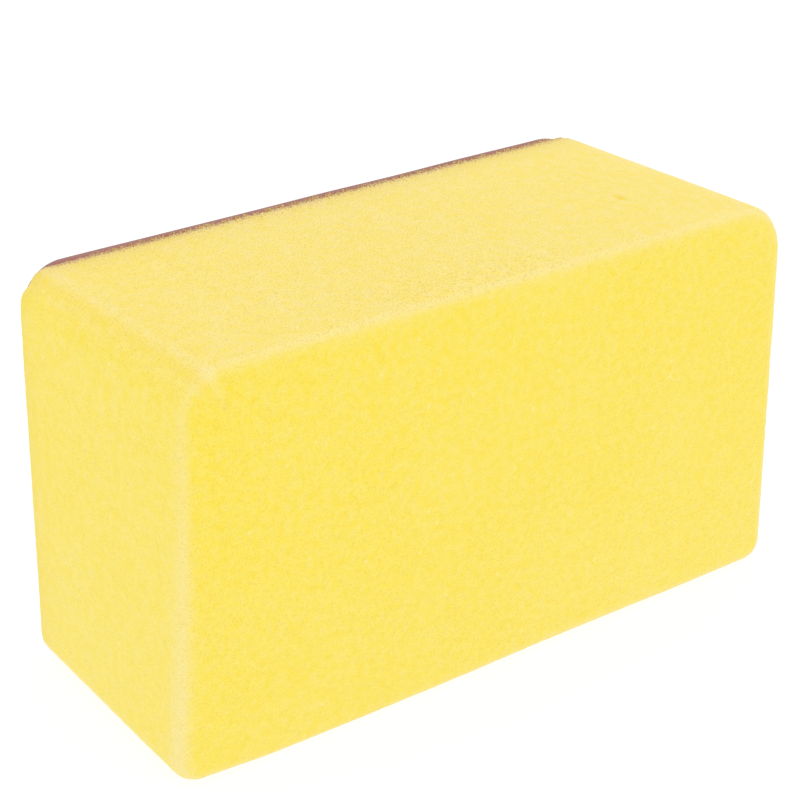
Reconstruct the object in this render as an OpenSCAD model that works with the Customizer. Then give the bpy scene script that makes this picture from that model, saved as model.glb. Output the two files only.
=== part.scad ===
// Hand-held grout float with no separate handle: a thick block of open-cell foam is
// the grip, and a firm rubber pad is bonded over its rear face to push the grout.
//
// Frame, in millimetres: +Z up, +X along the block's length, and +Y out through the
// working face of the rubber pad. The block stands on its long narrow side, and the
// origin is under its middle, on the surface that it stands on.

/* [Foam block] */
// Length of the block, along X
foam_length = 152; // [120:1:200]
// Height of the block as it stands, along Z
foam_height = 87.5; // [60:0.5:120]
// Depth of the foam from the grip face to the bonded face
foam_depth = 61; // [35:0.5:90]
// Corner radius at the lower left, seen from the grip face
corner_lower_left = 4; // [4:0.5:20]
// Corner radius at the lower right
corner_lower_right = 6; // [4:0.5:20]
// Corner radius at the upper right, which is worn rounder than the rest
corner_upper_right = 13.5; // [4:0.5:20]
// Corner radius at the upper left
corner_upper_left = 10; // [4:0.5:20]
// Rounding of the edges round the grip face
grip_edge_r = 3.5; // [0.5:0.5:4]
// Rounding of the cut edges round the bonded face
seam_edge_r = 1.5; // [0.5:0.5:4]

/* [Adhesive film] */
// Thickness of the contact adhesive between foam and rubber
film_thick = 0.4; // [0.2:0.1:1]
// How far the film stops short of the pad's outline
film_inset = 0.8; // [0.5:0.1:2]

/* [Rubber pad] */
// Thickness of the rubber pad
pad_thick = 3.6; // [2:0.1:12]
// How far the pad stops short of each end of the foam, so that the foam wraps past it
pad_end_gap = 3.5; // [0.5:0.1:8]
// How far the pad stops short of the foam's long sides
pad_side_gap = 1; // [0.5:0.1:1.5]
// Rounding of the pad's working edge
pad_edge_r = 0.8; // [0.3:0.1:1]
// Rounding of the pad's bonded edge
pad_bond_r = 0.3; // [0.2:0.1:0.5]

/* [Hidden] */
$fn = 64;

// How far a cut runs past the face that it opens
clear = 1;
// The outline's corner radii, anticlockwise from the lower left
corners = [corner_lower_left, corner_lower_right, corner_upper_right, corner_upper_left];
// The gaps between the foam's outline and the pad's, along X and along Z
pad_gap = [pad_end_gap, pad_side_gap];
// The whole float from the grip face to the working face
total_depth = foam_depth + film_thick + pad_thick;
// Where each layer's rear face lies
foam_rear = foam_depth - total_depth / 2;
film_rear = foam_rear + film_thick;
pad_rear = film_rear + pad_thick;

foam_yellow = [0.99, 0.90, 0.42];
glue_amber = [0.66, 0.42, 0.24];
gum_rubber = [0.55, 0.33, 0.32];

// The corner waste outside a quarter round of radius r that is centred on the origin
module waste(r) {
    difference() {
        square(r + clear);
        circle(r);
    }
}

// The centre of the outline's corner i, counted anticlockwise from the lower left
function corner_centre(size, radii, i) =
    let (right = i == 1 || i == 2, upper = i >= 2)
    [(right ? 1 : -1) * (size.x / 2 - radii[i]), (upper ? 1 : -1) * (size.y / 2 - radii[i])];

// A flat rectangle that has its own radius at each corner
module outline(size, radii) {
    difference() {
        square(size, center = true);
        for (i = [0:3]) {
            translate(corner_centre(size, radii, i))
            rotate(180 + 90 * i)
            waste(radii[i]);
        }
    }
}

// The ring that a round-over cutter of radius r takes off the outline's upper edge,
// at z = 0: one quarter turn for each corner, then the straight side that follows it
module round_over(size, radii, r) {
    for (i = [0:3]) {
        next = (i + 1) % 4;
        side = (i % 2 == 0 ? size.x : size.y) - radii[i] - radii[next];
        translate(corner_centre(size, radii, i))
        rotate(180 + 90 * i) {
            rotate_extrude(angle = 90)
            translate([radii[i] - r, -r])
            waste(r);

            rotate([90, 0, -90])
            linear_extrude(side)
            mirror([1, 0])
            translate([radii[i] - r, -r])
            waste(r);
        }
    }
}

// The size of a layer that stops short of the foam's outline by gap
function layer_size(gap) = [foam_length, foam_height] - 2 * gap;

// The corner radii of that layer, which keep its long sides' gap round the corners
function layer_radii(gap) = [for (r = corners) r - gap.y];

// A layer of the float: its outline stands in XZ, its rear face is at y = rear, and
// its front and rear edges are rounded over
module layer(gap, depth, rear, front_r, rear_r) {
    size = layer_size(gap);
    radii = layer_radii(gap);
    translate([0, rear, foam_height / 2])
    rotate([90, 0, 0])
    difference() {
        linear_extrude(depth)
        outline(size, radii);

        translate([0, 0, depth])
        round_over(size, radii, front_r);

        mirror([0, 0, 1])
        round_over(size, radii, rear_r);
    }
}

// Block of open-cell polyurethane foam that the hand holds
module foam_block() {
    color(foam_yellow)
    layer([0, 0], foam_depth, foam_rear, grip_edge_r, seam_edge_r);
}

// Contact adhesive, brushed on short of the pad's outline and shut in by it
module adhesive_film() {
    gap = pad_gap + [film_inset, film_inset];
    color(glue_amber)
    translate([0, film_rear, foam_height / 2])
    rotate([90, 0, 0])
    linear_extrude(film_thick)
    outline(layer_size(gap), layer_radii(gap));
}

// Firm gum-rubber pad, die-cut from sheet, whose rear face works the grout
module rubber_pad() {
    color(gum_rubber)
    layer(pad_gap, pad_thick, pad_rear, pad_bond_r, pad_edge_r);
}

foam_block();
adhesive_film();
rubber_pad();
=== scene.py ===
"""A hand-held grout float: a foam grip block, a film of contact adhesive and a gum-rubber pad.

Each section makes one piece, in the order in which the float is put together. Lengths are in
metres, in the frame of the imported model: +X along the block, +Y through the pad, +Z up.
"""

import math

import bpy
import numpy as np
from mathutils import Matrix, Vector


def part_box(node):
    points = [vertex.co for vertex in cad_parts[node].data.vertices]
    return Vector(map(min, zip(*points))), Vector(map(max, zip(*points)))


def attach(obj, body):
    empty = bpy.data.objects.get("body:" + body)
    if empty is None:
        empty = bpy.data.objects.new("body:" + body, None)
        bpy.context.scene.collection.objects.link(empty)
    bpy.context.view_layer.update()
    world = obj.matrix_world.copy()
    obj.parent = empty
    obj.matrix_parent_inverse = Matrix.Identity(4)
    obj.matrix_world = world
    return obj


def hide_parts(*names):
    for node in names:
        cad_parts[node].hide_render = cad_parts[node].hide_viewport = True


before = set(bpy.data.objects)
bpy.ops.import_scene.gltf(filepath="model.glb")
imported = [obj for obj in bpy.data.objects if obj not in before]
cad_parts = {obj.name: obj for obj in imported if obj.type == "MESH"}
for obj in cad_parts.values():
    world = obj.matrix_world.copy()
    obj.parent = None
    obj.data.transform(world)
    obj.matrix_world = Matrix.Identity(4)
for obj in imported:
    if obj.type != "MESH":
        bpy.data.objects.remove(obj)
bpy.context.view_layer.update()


# ---- Foam grip block ------------------------------------------------------------------------
# A block of open-cell polyurethane foam, sawn from a bun and then handled, so its edges are
# worn round and it is slightly out of square. It stands on its long narrow side.

mm = 0.001
foam_low, foam_high = (np.array(corner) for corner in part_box("foam_block"))
foam_size = foam_high - foam_low
foam_middle = (foam_low + foam_high) / 2

foam_pitch = np.full(3, 0.45 * mm)  # between the points of the skin
outline_r = np.array([[4, 10], [6, 13.5]]) * mm  # corner radii: left and right, lower and upper
seam_edge_r = 0.8 * mm  # rounding of the sawn edge beside the pad


def box_skin(count):
    """The six faces of a box as one closed grid. Each face is a grid of unit squares over the two
    directions that lie in it. Gives the grid's corners as whole numbers, shared along the box's
    edges, and the squares, wound to face outwards."""
    squares = []
    for axis in range(3):
        across, along = (axis + 1) % 3, (axis + 2) % 3
        u, v = np.meshgrid(np.arange(count[across]), np.arange(count[along]), indexing="ij")
        for far in (False, True):
            turn = ((0, 0), (1, 0), (1, 1), (0, 1)) if far else ((0, 0), (0, 1), (1, 1), (1, 0))
            square = np.zeros((u.size, 4, 3), int)
            for c, (step_u, step_v) in enumerate(turn):
                square[:, c, across] = (u + step_u).ravel()
                square[:, c, along] = (v + step_v).ravel()
            square[:, :, axis] = count[axis] if far else 0
            squares.append(square)
    corners = np.concatenate(squares).reshape(-1, 3)
    key = corners @ (1, count[0] + 1, (count[0] + 1) * (count[1] + 1))
    _, first, which = np.unique(key, return_index=True, return_inverse=True)
    return corners[first], which.reshape(-1, 4)


def rounded_outline(x, z, half_x, half_z, radius):
    """Bends a rectangle's corners round. In the square at each corner, the distance out from the
    arc's centre, measured along the square's sides, becomes a radius. Gives the new x and z, the
    outline's outward direction there, and how far inside the outline the point lies."""
    over_x, over_z = np.abs(x) - (half_x - radius), np.abs(z) - (half_z - radius)
    in_corner = (over_x > 0) & (over_z > 0)
    square_r, round_r = np.maximum(over_x, over_z), np.hypot(over_x, over_z) + 1e-12
    side_x, side_z = np.where(x < 0, -1, 1), np.where(z < 0, -1, 1)
    to_x, to_z = over_x / round_r, over_z / round_r
    new_x = np.where(in_corner, side_x * (half_x - radius + to_x * square_r), x)
    new_z = np.where(in_corner, side_z * (half_z - radius + to_z * square_r), z)
    nearer_x = over_x > over_z
    out_x = side_x * np.where(in_corner, to_x, nearer_x)
    out_z = side_z * np.where(in_corner, to_z, ~nearer_x)
    return new_x, new_z, out_x, out_z, radius - square_r


def rounded_edge(inside, below, r):
    """Rounds the edge between a face and a side with radius r. The way along the skin across the
    edge, from r short of it on the face to r past it on the side, becomes a quarter turn. Gives
    the new distances inside the outline and below the face."""
    along = below - inside
    turn = np.clip((along / r + 1) / 2, 0, 1) * np.pi / 2
    near = np.abs(along) < r
    return (
        np.where(near, r * (1 - np.sin(turn)), inside),
        np.where(near, r * (1 - np.cos(turn)), below),
    )


def slab_skin(low, high, pitch, outline_r_at, front_r_at, rear_r):
    """A box's grid made into a slab, with rounded corners to its outline in XZ and rounded edges
    to its front and rear faces. outline_r_at(x, depth, z) and front_r_at(x, z, out_x, out_z) give
    radii, with x and z from the slab's middle. Gives the points, the squares, the outline's
    outward direction at each point, its distance inside the outline and its depth behind the
    front face. The last two are as they were before the edges were rounded."""
    size = high - low
    count = np.round(size / pitch).astype(int)
    grid, squares = box_skin(count)
    x, depth, z = (grid / count * size).T
    x, z = x - size[0] / 2, z - size[2] / 2
    radius = outline_r_at(x, depth, z)
    x, z, out_x, out_z, inside = rounded_outline(x, z, size[0] / 2, size[2] / 2, radius)
    front_inside, from_front = rounded_edge(inside, depth, front_r_at(x, z, out_x, out_z))
    rear_inside, from_rear = rounded_edge(inside, size[1] - depth, rear_r)
    at_front = depth < size[1] / 2
    shift = inside - np.where(at_front, front_inside, rear_inside)
    new_depth = np.where(at_front, from_front, size[1] - from_rear)
    middle = (low + high) / 2
    points = np.stack([x + out_x * shift, new_depth, z + out_z * shift], 1)
    return points + (middle[0], low[1], middle[2]), squares, out_x, out_z, inside, depth


def ease(t):
    """0 below 0 and 1 above 1, with a smooth S between: 3t^2 - 2t^3."""
    t = np.clip(t, 0, 1)
    return t * t * (3 - 2 * t)


def bell(distance, width):
    """1 at no distance, falling to 1/e at width, as exp(-(distance / width)^2)."""
    return np.exp(-((distance / width) ** 2))


def foam_outline_r(x, depth, z):
    """The outline's corner radii, worn and pressed a little differently from front to rear."""
    right, upper, back = (x > 0).astype(int), (z > 0).astype(int), depth / foam_size[1]
    change_at_front = np.array([[2.4, 0], [-0.8, -0.7]]) * mm
    change_at_rear = np.array([[2.4, -2.5], [-0.8, 1.5]]) * mm
    change = (1 - back) * change_at_front[right, upper] + back * change_at_rear[right, upper]
    return outline_r[right, upper] + change


def grip_edge_r(x, z, out_x, out_z):
    """The radius round the grip face. Each side has its own, mixed by the outline's direction.
    The left one widens from the top to the foot, and the lowest one towards both ends."""
    foot, right = 0.5 - z / foam_size[2], 0.5 + x / foam_size[0]
    side_r = np.where(out_x < 0, 2.5 + 2.0 * foot, 3.8) * mm
    foot_r = 2.2 + 2.2 * ease(1 - 6 * right) + 1.6 * ease(2 * right - 0.4)
    level_r = np.where(out_z > 0, 2.2, foot_r) * mm
    return side_r * out_x**2 + level_r * out_z**2


foam_points, foam_squares, out_x, out_z, inside, depth = slab_skin(
    foam_low, foam_high, foam_pitch, foam_outline_r, grip_edge_r, seam_edge_r
)


def normals_of(points, faces):
    """Each point's outward direction: the sum of the cross products of its faces' diagonals."""
    corner = points[faces]
    face_normal = np.cross(corner[:, 2] - corner[:, 0], corner[:, 3] - corner[:, 1])
    total = np.zeros_like(points)
    for axis in range(3):
        weight = np.repeat(face_normal[:, axis], 4)
        total[:, axis] = np.bincount(faces.ravel(), weight, len(points))
    return total / np.linalg.norm(total, axis=1, keepdims=True)


chances = np.random.default_rng(20).random((4096, 4))


def chance(cell, seed):
    """Four repeatable numbers from 0 to 1 for each cell of space, from a table of random ones."""
    mixed = (cell[..., 0] * 73856093) ^ (cell[..., 1] * 19349663) ^ (cell[..., 2] * 83492791)
    return chances[(mixed + seed * 7919) % len(chances)]


def swell(points, size, seed):
    """A smooth random height from -1 to 1: each cube of that size has a random number at its
    corners, eased from corner to corner."""
    cell = np.floor(points / size).astype(int)
    part = ease(points / size - cell)
    height = np.zeros(len(points))
    for corner in np.ndindex(2, 2, 2):
        share = np.prod(np.where(corner, part, 1 - part), axis=1)
        height += share * (chance(cell + corner, seed)[:, 0] * 2 - 1)
    return height


def pores(points, size, seed, share):
    """The nearest of the random points that a share of the cubes of that size hold: the distance
    to it, and that pore's own random number."""
    cell = np.floor(points / size).astype(int)
    nearest, luck = np.full(len(points), np.inf), np.zeros(len(points))
    for step in np.ndindex(3, 3, 3):
        cube = cell + step - 1
        roll = chance(cube, seed)
        distance = np.linalg.norm((cube + roll[:, :3]) * size - points, axis=1)
        distance[roll[:, 3] > share] = np.inf
        closer = distance < nearest
        nearest[closer] = distance[closer]
        luck[closer] = roll[closer, 3] / share
    return nearest, luck


foam_normals = normals_of(foam_points, foam_squares)
from_left = foam_points[:, 0] - foam_low[0]
from_seam = foam_high[1] - foam_points[:, 1]
from_top = foam_high[2] - foam_points[:, 2]
above_floor = foam_points[:, 2] - foam_low[2]

# The upper left round was pressed when packed: a crease low on it, deeper to the rear.
arm_x, arm_z = outline_r[0, 1] - from_left, outline_r[0, 1] - from_top
on_round = (arm_x > 0) & (arm_z > 0)
angle = np.degrees(np.arctan2(arm_z, np.maximum(arm_x, 1e-9)))  # up the round, from the side
crease = np.where(on_round, bell(angle - 42, 8), 0)
ridge = np.where(on_round, bell(angle - 66, 8), 0)
under_ridge = np.where(on_round, bell(angle - 53, 8), 0)
crease_reach = 24 * mm  # the distance over which it grows shallow, from the seam
crease_depth = (0.10 + 0.36 * ease(1 - from_seam / crease_reach)) * mm
heave = 0.12 * mm * ridge - crease_depth * crease

# Sawn faces of foam are never quite flat, and small pits open where large cells were cut.
heave += 0.28 * mm * swell(foam_points, 46 * mm, 1) + 0.10 * mm * swell(foam_points, 17 * mm, 2)
heave += 0.035 * mm * swell(foam_points, 1.5 * mm, 3) + 0.03 * mm * swell(foam_points, 0.9 * mm, 4)
pit_distance, pit_luck = pores(foam_points, 2.0 * mm, 5, 0.5)
pit = bell(pit_distance, (0.3 + 0.45 * pit_luck) * mm)
torn_at = np.array([47.6 * mm, -10.6 * mm, foam_high[2]])  # one torn-out cell on the top
torn_reach = np.array([0.75 * mm, 2.1 * mm, 1.5 * mm])
torn = np.exp(-(((foam_points - torn_at) / torn_reach) ** 2).sum(1))
heave -= 0.12 * mm * pit + 0.8 * mm * torn

# The rear edge is torn where the saw met the glue, and sound near the ends.
sound_end = 16 * mm
from_end = np.minimum(from_left, foam_high[0] - foam_points[:, 0])
on_rear = (inside > seam_edge_r) & (depth > foam_size[1] / 2)
fray = bell(from_seam, 1.2 * mm) * ~on_rear * ease(from_end / sound_end)
ragged = 0.6 * swell(foam_points, 1.1 * mm, 6) + 0.6 * swell(foam_points, 0.6 * mm, 7)
heave += 0.24 * mm * fray * ragged
foam_points += foam_normals * heave[:, None]
foam_points[:, 1] += 0.40 * mm * fray * swell(foam_points, 0.9 * mm, 8)
foam_points[:, 1] = np.where(on_rear, np.minimum(foam_points[:, 1], foam_high[1]), foam_points[:, 1])

# The block is out of square: its left end leans out towards the foot, most at the grip face.
foot, back = 1 - above_floor / foam_size[2], depth / foam_size[1]
lean_at_grip, lean_at_seam = 0.9 - 4.6 * foot**2, 1.0 - 1.7 * foot
lean = (1 - back) * lean_at_grip + back * lean_at_seam
lean_reach = 42 * mm  # the distance over which it fades, from the left end
foam_points[:, 0] += lean * mm * bell(from_left, lean_reach)
foam_points[:, 2] = np.maximum(foam_points[:, 2], foam_low[2])


def lay_skin(name, points, faces):
    """A mesh object of these points and faces, which all have as many sides, smooth shaded."""
    mesh = bpy.data.meshes.new(name)
    mesh.vertices.add(len(points))
    mesh.vertices.foreach_set("co", points.astype(np.float32).ravel())
    mesh.loops.add(faces.size)
    mesh.loops.foreach_set("vertex_index", faces.astype(np.int32).ravel())
    mesh.polygons.add(len(faces))
    mesh.polygons.foreach_set("loop_start", np.arange(0, faces.size, faces.shape[1], dtype=np.int32))
    mesh.update(calc_edges=True)
    mesh.shade_smooth()
    made = bpy.data.objects.new(name, mesh)
    bpy.context.scene.collection.objects.link(made)
    return made


foam_block = lay_skin("foam_grip_block", foam_points, foam_squares)


def keep_on_points(piece, name, values):
    """Stores one number for each point of the piece, for its material to read."""
    kept = piece.data.attributes.new(name, "FLOAT", "POINT")
    kept.data.foreach_set("value", values.astype(np.float32))


# Edges are paler, partly rubbed pale and partly a painted highlight where they catch the light, the
# left upright one in a band that widens towards the foot.
along = depth - inside
to_left, to_right = np.clip(-out_x, 0, 1) ** 2, np.clip(out_x, 0, 1) ** 2
to_top, to_foot = np.clip(out_z, 0, 1) ** 2, np.clip(-out_z, 0, 1) ** 2
past_band = along - 1.2 * mm * foot
band_reach = np.where(past_band < 0, 1.2 + 1.8 * foot, 1.6 + 2.2 * foot) * mm
left_band = (0.55 + 0.45 * foot) * bell(past_band, band_reach)
top_line = 0.8 * bell(along, np.where(along < 0, 2.2, 1.5) * mm)
low_line = 0.3 * bell(along, 2.4 * mm)
edge_wear_and_highlight = to_left * left_band + to_top * top_line + (to_right + to_foot) * low_line
right = (foam_points[:, 0] - foam_low[0]) / foam_size[0]
# Painted sheen: the foam is painted paler towards the foot and towards the right end.
painted_sheen_drift = 0.10 * foot + 0.04 * right
# The ridge and crease on the upper left round are painted paler too, a painted highlight.
pale = edge_wear_and_highlight + painted_sheen_drift + 0.45 * ridge + 0.15 * crease
keep_on_points(foam_block, "pale", np.clip(pale, 0, 1))
# Painted shade: pits, the torn cell and a band under the ridge on the upper left round are painted a
# deeper yellow.
keep_on_points(foam_block, "painted_pit_shade", np.clip(0.35 * pit + torn + 0.35 * under_ridge, 0, 1))
# How far the skin faces up. The top is painted paler with it, a painted sheen, and its dark dots gather
# there.
facing_up = np.clip(foam_normals[:, 2], 0, 1) ** 2
keep_on_points(foam_block, "facing_up", facing_up)
keep_on_points(foam_block, "coarse", facing_up * bell(right - 0.40, 0.35))
pad_gap = np.array(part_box("rubber_pad")[0]) - foam_low  # the glue stops at the pad's outline
to_glue = (pad_gap[0] - pad_gap[2]) * np.abs(out_x) - inside
from_glue = 1.6 * np.maximum(to_glue, 0) + np.maximum(from_seam - 0.6 * mm, 0)
glue_reach = 2.8 * mm  # the distance over which its stain fades
keep_on_points(foam_block, "glued", np.exp(-from_glue / glue_reach))


def new_material(name):
    """An empty node material, and a function that adds a node to it and joins its inputs."""
    material = bpy.data.materials.new(name)
    material.use_nodes = True
    tree = material.node_tree
    tree.nodes.clear()

    def add(kind, inputs=(), **settings):
        made = tree.nodes.new(kind)
        for key, value in settings.items():
            setattr(made, key, value)
        for socket, value in dict(inputs).items():
            if isinstance(value, bpy.types.NodeSocket):
                tree.links.new(value, made.inputs[socket])
            else:
                made.inputs[socket].default_value = value
        return made

    return material, add


def srgb(red, green, blue):
    """A colour as it looks on screen, from 0 to 255, as the light values that shaders take."""
    return tuple(((c / 255 + 0.055) / 1.055) ** 2.4 for c in (red, green, blue)) + (1,)


def noise(add, place, size, detail=0.0):
    """Smooth noise from 0 to 1 whose lumps are about size across."""
    made = add("ShaderNodeTexNoise", {"Vector": place, "Scale": 1 / size, "Detail": detail})
    return made.outputs["Fac"]


def on_points(add, name):
    """A number that is kept on the piece's points."""
    return add("ShaderNodeAttribute", attribute_name=name).outputs["Fac"]


def math_of(add, operation, first, second=0.0, third=0.0):
    """One step of arithmetic on node values."""
    return add("ShaderNodeMath", {0: first, 1: second, 2: third}, operation=operation).outputs[0]


def ranged(add, value, start, end, to_start=0.0, to_end=1.0):
    """A value carried from one range to another and held at its ends."""
    made = add("ShaderNodeMapRange", {0: value, 1: start, 2: end, 3: to_start, 4: to_end})
    return made.outputs[0]


def ramp(add, value, stops):
    """A colour ramp over value, with stops as (place, colour)."""
    made = add("ShaderNodeValToRGB", {"Fac": value})
    band = made.color_ramp
    while len(band.elements) < len(stops):
        band.elements.new(0.5)
    for element, (place, colour) in zip(band.elements, stops):
        element.position = place
        element.color = colour
    return made.outputs["Color"]


def blend(add, factor, first, second):
    """Colour first where factor is 0, and second where it is 1."""
    return add("ShaderNodeMix", {0: factor, 6: first, 7: second}, data_type="RGBA").outputs[2]


def foam_material():
    """Cells a few tenths of a millimetre across, drawn out from front to rear, the way the foam rose.
    The yellow deepens and pales in soft mottles. The top's wider cells show as dark hollows, and the
    top is painted paler, a painted sheen. Edges are paler still, from wear and a painted highlight,
    pits are painted darker as painted shade, and a few cells have pale skins, painted bright as glints.
    Glue has wicked in at the seam as red-brown dots that thin out, and a soft brown tint darkens the
    foam towards the seam."""
    material, add = new_material("open_cell_foam")
    rise = {"Vector": add("ShaderNodeTexCoord").outputs["Object"], "Scale": (1, 1 / 1.3, 1)}
    place = add("ShaderNodeMapping", rise).outputs["Vector"]
    facing_up, glued = on_points(add, "facing_up"), on_points(add, "glued")
    mottle = math_of(add, "MULTIPLY", noise(add, place, 1.8 * mm, 1.5), 0.8)
    mottle = math_of(add, "MULTIPLY_ADD", noise(add, place, 26 * mm, 1.0), 0.25, mottle)
    colour = ramp(add, mottle, (
        (0.36, srgb(247, 223, 62)),
        (0.53, srgb(247, 225, 82)),
        (0.70, srgb(247, 226, 102)),
    ))
    # Painted sheen: the faces that look up are painted a paler yellow.
    top_sheen_colour = ramp(add, mottle, (
        (0.36, srgb(247, 220, 100)),
        (0.53, srgb(247, 221, 122)),
        (0.70, srgb(247, 222, 144)),
    ))
    colour = blend(add, math_of(add, "MULTIPLY", facing_up, 0.45), colour, top_sheen_colour)
    # Paler edges from wear and a painted highlight, with a painted sheen towards the foot and the right
    # end.
    rubbed_and_lit = math_of(add, "MULTIPLY", on_points(add, "pale"), 0.7)
    colour = blend(add, rubbed_and_lit, colour, srgb(247, 230, 164))
    # Painted shade in the pits, the torn cell and under the ridge.
    pit_shade_share = math_of(add, "MULTIPLY", on_points(add, "painted_pit_shade"), 0.6)
    colour = blend(add, pit_shade_share, colour, srgb(246, 214, 62))

    dots = ranged(add, noise(add, place, 0.34 * mm, 1.0), 0.50, 0.70)
    dot_share = math_of(add, "MULTIPLY_ADD", on_points(add, "coarse"), 0.30, 0.18)
    colour = blend(add, math_of(add, "MULTIPLY", dots, dot_share), colour, srgb(204, 160, 26))

    # Pale cell skins, painted bright as glints.
    skins = add("ShaderNodeTexVoronoi", {"Vector": place, "Scale": 1 / (2.2 * mm)}, feature="F1")
    skin_glint = ranged(add, skins.outputs["Distance"], 0.06, 0.24, 0.7, 0.0)
    own = add("ShaderNodeSeparateColor", {0: skins.outputs["Color"]}).outputs[0]
    has_skin_glint = math_of(add, "GREATER_THAN", own, 0.94)
    colour = blend(add, math_of(add, "MULTIPLY", skin_glint, has_skin_glint), colour, srgb(250, 234, 150))

    speckle = math_of(add, "MULTIPLY_ADD", noise(add, place, 0.34 * mm, 1.0), 1.6, glued)
    stain = ranged(add, speckle, 1.36, 1.82)
    # A soft brown tint, strongest at the seam and fading over the glue's reach.
    colour = blend(add, math_of(add, "MULTIPLY", glued, 0.45), colour, srgb(200, 158, 104))
    colour = blend(add, stain, colour, srgb(158, 96, 76))

    cells = add("ShaderNodeTexVoronoi", {"Vector": place, "Scale": 1 / (0.42 * mm)}, feature="F1")
    lumps = noise(add, place, 0.9 * mm, 2.0)
    height = math_of(add, "MULTIPLY_ADD", lumps, 1.2, cells.outputs["Distance"])
    bump = add("ShaderNodeBump", {"Height": height, "Strength": 0.35, "Distance": 0.10 * mm})
    shader = add("ShaderNodeBsdfPrincipled", {
        "Base Color": colour,
        "Roughness": 0.95,
        "Specular IOR Level": 0.15,
        "Sheen Weight": 0.34,
        "Sheen Roughness": 0.6,
        "Sheen Tint": (1.0, 0.98, 0.9, 1.0),
        "Normal": bump.outputs["Normal"],
    })
    add("ShaderNodeOutputMaterial", {"Surface": shader.outputs["BSDF"]})
    return material


foam_block.data.materials.append(foam_material())
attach(foam_block, "root")
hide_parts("foam_block")


# ---- Torn cell walls ------------------------------------------------------------------------
# The saw tears the foam's cell walls along the upper edge beside the pad. Loose slivers of wall
# stand up there, most of them clean and some soaked with glue.

sliver_count = 1400
draw = np.random.default_rng(31)
at_seam = (from_seam < 1.0 * mm) & (out_z > 0) & (from_end > sound_end) & ~on_rear
edge_points = np.flatnonzero(at_seam)
chosen = draw.choice(edge_points, sliver_count)
sliver_reach = (0.22 + 0.5 * draw.random(sliver_count) ** 2)[:, None] * mm
sliver_waist = (0.05 + 0.04 * draw.random(sliver_count))[:, None] * mm
sliver_way = foam_normals[chosen] + draw.normal(0, 0.5, (sliver_count, 3)) + (0, 0.35, 0)
sliver_way /= np.linalg.norm(sliver_way, axis=1, keepdims=True)
sliver_across = np.cross(sliver_way, draw.normal(0, 1, (sliver_count, 3)))
sliver_across /= np.linalg.norm(sliver_across, axis=1, keepdims=True)
sliver_beside = np.cross(sliver_way, sliver_across)


def sliver_ring(along_share, waist_share, bend):
    """Three points round each sliver, at a share of its reach, with a share of its waist and
    bent sideways by a share of its reach."""
    middle = foam_points[chosen] + sliver_way * (along_share * sliver_reach - 0.08 * mm)
    middle = middle + sliver_across * (bend * sliver_reach)
    turn = np.arange(3) * 2 * np.pi / 3
    round_it = [sliver_across * math.cos(t) + sliver_beside * math.sin(t) for t in turn]
    return [middle + part * (waist_share * sliver_waist) for part in round_it]


sliver_rings = sliver_ring(0, 1, 0) + sliver_ring(0.55, 0.8, 0.1) + sliver_ring(1, 0.25, 0.35)
sliver_points = np.stack(sliver_rings, 1).reshape(-1, 3)
sliver_faces = [(0, 2, 1), (6, 7, 8)]
for level in (0, 3):
    for side in range(3):
        beside = (side + 1) % 3
        sliver_faces.append((level + side, level + beside, level + 3 + beside))
        sliver_faces.append((level + side, level + 3 + beside, level + 3 + side))
sliver_faces = np.array(sliver_faces)[None] + 9 * np.arange(sliver_count)[:, None, None]
slivers = lay_skin("torn_cell_walls", sliver_points, sliver_faces.reshape(-1, 3))
keep_on_points(slivers, "glued", np.repeat(draw.random(sliver_count), 9))


def sliver_material():
    """The foam's own yellow, a little pale for being thin, or red-brown where glue soaked in."""
    material, add = new_material("torn_foam")
    soaked = ranged(add, on_points(add, "glued"), 0.55, 0.9)
    shader = add("ShaderNodeBsdfPrincipled", {
        "Base Color": blend(add, soaked, srgb(247, 226, 120), srgb(160, 96, 78)),
        "Roughness": 0.95,
        "Specular IOR Level": 0.15,
    })
    add("ShaderNodeOutputMaterial", {"Surface": shader.outputs["BSDF"]})
    return material


slivers.data.materials.append(sliver_material())
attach(slivers, "root")


# ---- Contact adhesive -----------------------------------------------------------------------
# Brown contact adhesive, brushed on both faces and pressed thin. It stops a little short of
# the pad's edge, except where it was squeezed out in beads.

film_low, film_high = (np.array(corner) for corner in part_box("adhesive_film"))
film_pitch = np.array([1.2, 0.2, 1.2]) * mm
film_gap = (foam_size[2] - (film_high - film_low)[2]) / 2
film_edge_r = 0.05 * mm


def film_outline_r(x, depth, z):
    """The foam's corner radii, less the gap that the film leaves along the long sides."""
    return outline_r[(x > 0).astype(int), (z > 0).astype(int)] - film_gap


film_points, film_squares, out_x, out_z, inside, depth = slab_skin(
    film_low, film_high, film_pitch, film_outline_r, lambda *where: film_edge_r, film_edge_r
)
squeezed = 0.25 + 0.35 * swell(film_points, 5 * mm, 11) + 0.2 * swell(film_points, 2 * mm, 12)
squeezed = squeezed * mm * ease(1 - inside / (2 * mm))
film_points[:, 0] += out_x * squeezed
film_points[:, 2] += out_z * squeezed
film = lay_skin("adhesive_layer", film_points, film_squares)


def adhesive_material():
    """Dried rubber cement: dark amber brown, thinner and lighter in streaks, with a dull skin."""
    material, add = new_material("dried_contact_adhesive")
    place = add("ShaderNodeTexCoord").outputs["Object"]
    streaks = noise(add, place, 4 * mm, 4.0)
    colour = ramp(add, streaks, ((0.35, srgb(112, 60, 46)), (0.7, srgb(152, 92, 66))))
    bump = add("ShaderNodeBump", {"Height": streaks, "Strength": 0.4, "Distance": 0.2 * mm})
    shader = add("ShaderNodeBsdfPrincipled", {
        "Base Color": colour,
        "Roughness": ranged(add, streaks, 0.3, 0.7, 0.35, 0.6),
        "Normal": bump.outputs["Normal"],
    })
    add("ShaderNodeOutputMaterial", {"Surface": shader.outputs["BSDF"]})
    return material


film.data.materials.append(adhesive_material())
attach(film, "root")
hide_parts("adhesive_film")


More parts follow.
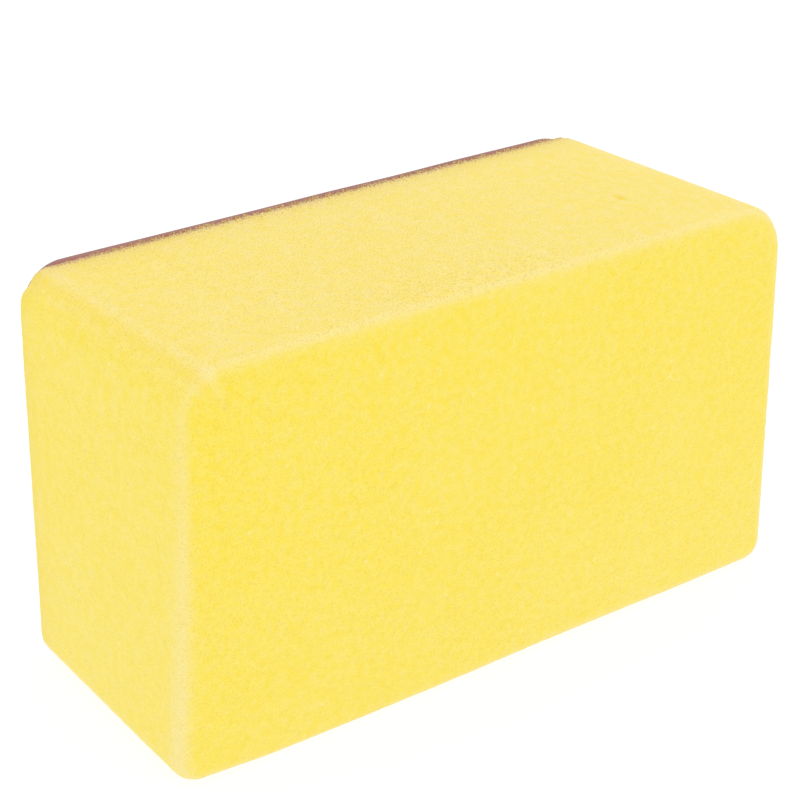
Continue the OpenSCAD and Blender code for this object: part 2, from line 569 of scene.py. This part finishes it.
# ---- Gum-rubber pad -------------------------------------------------------------------------
# Firm reddish-brown gum rubber, die-cut from calendered sheet and bonded over the foam. Its
# rear face does the work, so that edge is rounded and the face is faintly scuffed.

pad_low, pad_high = (np.array(corner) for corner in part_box("rubber_pad"))
pad_size = pad_high - pad_low
pad_pitch = np.array([0.8, 0.2, 0.8]) * mm
bond_edge_r, work_edge_r = 0.3 * mm, 0.8 * mm


def pad_outline_r(x, depth, z):
    """The foam's corner radii, less the gap that the pad leaves along the long sides."""
    return outline_r[(x > 0).astype(int), (z > 0).astype(int)] - pad_gap[2]


pad_points, pad_squares, out_x, out_z, inside, depth = slab_skin(
    pad_low, pad_high, pad_pitch, pad_outline_r, lambda *where: bond_edge_r, work_edge_r
)
wander = 0.12 * mm * swell(pad_points, 19 * mm, 15) * ease(1 - inside / (3 * mm))
pad_points[:, 0] += out_x * wander
pad_points[:, 2] += out_z * wander
on_face = (depth > pad_size[1] / 2) * ease(inside / (4 * mm))
pad_points[:, 1] -= on_face * 0.10 * mm * (1 + swell(pad_points, 28 * mm, 16))
pad = lay_skin("gum_rubber_pad", pad_points, pad_squares)
from_face = pad_size[1] - depth
# The working edge is greyed, by wear and by a painted highlight where its rounding catches the light.
worn = bell(from_face - inside, 1.4 * mm) * (0.7 + 0.3 * swell(pad_points, 6 * mm, 17))
keep_on_points(pad, "worn", worn)
keep_on_points(pad, "cut", ease(1 - inside / (0.4 * mm)) * ease(from_face / (2.4 * mm) - 0.3))


def drawn_out(add, place, turn, stretch):
    """Places turned about the pad's face and drawn out along it, so that noise becomes streaks."""
    turned = add("ShaderNodeMapping", {"Vector": place, "Rotation": (0, math.radians(turn), 0)})
    drawn = {"Vector": turned.outputs["Vector"], "Scale": (1 / stretch, 1, 1)}
    return add("ShaderNodeMapping", drawn).outputs["Vector"]


def rubber_material():
    """Calendered gum rubber: reddish brown with a fine filler grain and faint roll streaks, a few
    dark and pale flecks, redder cut sides, a working edge greyed by wear and by a painted highlight,
    and light scuffs that run along and across the stroke."""
    material, add = new_material("gum_rubber")
    place = add("ShaderNodeTexCoord").outputs["Object"]
    grain = noise(add, place, 0.5 * mm, 4.0)
    tone = math_of(add, "MULTIPLY", grain, 0.68)
    tone = math_of(add, "MULTIPLY_ADD", noise(add, place, 24 * mm, 2.0), 0.24, tone)
    rolled = noise(add, drawn_out(add, place, 0, 8), 1.6 * mm, 1.0)
    tone = math_of(add, "MULTIPLY_ADD", rolled, 0.08, tone)
    colour = ramp(add, tone, (
        (0.36, srgb(134, 84, 77)),
        (0.50, srgb(154, 104, 94)),
        (0.64, srgb(172, 124, 111)),
    ))

    flecks = add("ShaderNodeTexVoronoi", {"Vector": place, "Scale": 1 / (2.4 * mm)}, feature="F1")
    on_fleck = ranged(add, flecks.outputs["Distance"], 0.06, 0.13, 0.8, 0.0)
    own = add("ShaderNodeSeparateColor", {0: flecks.outputs["Color"]})
    is_pale = math_of(add, "GREATER_THAN", own.outputs[0], 0.7)
    fleck_colour = blend(add, is_pale, srgb(98, 60, 54), srgb(206, 172, 150))
    colour = blend(add, on_fleck, colour, fleck_colour)

    scuff_share = ranged(add, noise(add, place, 26 * mm, 1.0), 0.42, 0.66, 0.0, 0.5)
    for turn, size in ((8, 0.8 * mm), (-63, 0.6 * mm)):
        marks = ranged(add, noise(add, drawn_out(add, place, turn, 14), size, 2.0), 0.60, 0.72)
        colour = blend(add, math_of(add, "MULTIPLY", marks, scuff_share), colour, srgb(192, 152, 136))
    colour = blend(add, math_of(add, "MULTIPLY", on_points(add, "cut"), 0.8), colour, srgb(164, 84, 68))
    # Greyed working edge: wear and a painted highlight.
    worn = on_points(add, "worn")
    colour = blend(add, math_of(add, "MULTIPLY", worn, 0.4), colour, srgb(168, 132, 130))

    rough = math_of(add, "MULTIPLY_ADD", worn, 0.15, ranged(add, tone, 0.38, 0.62, 0.48, 0.66))
    bump = add("ShaderNodeBump", {"Height": grain, "Strength": 0.5, "Distance": 0.08 * mm})
    shader = add("ShaderNodeBsdfPrincipled", {
        "Base Color": colour,
        "Roughness": rough,
        "Normal": bump.outputs["Normal"],
    })
    add("ShaderNodeOutputMaterial", {"Surface": shader.outputs["BSDF"]})
    return material


pad.data.materials.append(rubber_material())
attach(pad, "root")
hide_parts("rubber_pad")


# ---- Studio ---------------------------------------------------------------------------------
# A white table, lit a little from below so that it stays white under the float, in white
# surroundings with broad soft lights. A long lens looks down a little on the float's left end.

table_half = 3.0
table = lay_skin(
    "studio_floor",
    np.array([(-1, -1, 0), (1, -1, 0), (1, 1, 0), (-1, 1, 0)]) * table_half,
    np.array([(0, 1, 2, 3)]),
)
table_material, add = new_material("lit_white_table")
table_shader = add("ShaderNodeBsdfPrincipled", {
    "Base Color": (0.20, 0.20, 0.20, 1),
    "Roughness": 1.0,
    "Specular IOR Level": 0.0,
    "Emission Color": (1, 1, 1, 1),
    "Emission Strength": 0.85,
})
add("ShaderNodeOutputMaterial", {"Surface": table_shader.outputs["BSDF"]})
table.data.materials.append(table_material)

surroundings = bpy.data.worlds.new("white_surroundings")
surroundings.use_nodes = True
surroundings.node_tree.nodes["Background"].inputs["Color"].default_value = (1, 1, 1, 1)
surroundings.node_tree.nodes["Background"].inputs["Strength"].default_value = 1.03
bpy.context.scene.world = surroundings
bpy.context.scene.view_settings.view_transform = "Standard"

aim = Vector(foam_middle)


def soft_light(name, place, size, watts):
    """A square soft light at place that faces the float."""
    lamp = bpy.data.lights.new(name, "AREA")
    lamp.size = size
    lamp.energy = watts
    made = bpy.data.objects.new(name, lamp)
    made.location = place
    made.rotation_euler = (aim - Vector(place)).to_track_quat("-Z", "Y").to_euler()
    bpy.context.scene.collection.objects.link(made)


soft_light("soft_overhead", (0.0, -0.1, 1.2), 1.2, 0.5)
soft_light("soft_front", (0.2, -1.2, 0.5), 1.0, 0.4)

azimuth, elevation, roll = (math.radians(a) for a in (-36.24, 25.09, -0.42))
distance = 468.7 * mm
off_centre = (-3.64 * mm, 5.70 * mm)  # how far the lens points past the block's middle
lens_back = Vector((
    math.sin(azimuth) * math.cos(elevation),
    -math.cos(azimuth) * math.cos(elevation),
    math.sin(elevation),
))
lens_right = Vector((0, 0, 1)).cross(lens_back).normalized()
lens_up = lens_back.cross(lens_right)
lens_right, lens_up = (
    lens_right * math.cos(roll) + lens_up * math.sin(roll),
    lens_up * math.cos(roll) - lens_right * math.sin(roll),
)
camera = bpy.data.objects.new("camera", bpy.data.cameras.new("camera"))
camera.data.sensor_width = 36
camera.data.lens = 99.45
camera.matrix_world = Matrix((lens_right, lens_up, lens_back)).transposed().to_4x4()
camera.location = aim + lens_back * distance + lens_right * off_centre[0] + lens_up * off_centre[1]
bpy.context.scene.collection.objects.link(camera)
bpy.context.scene.camera = camera
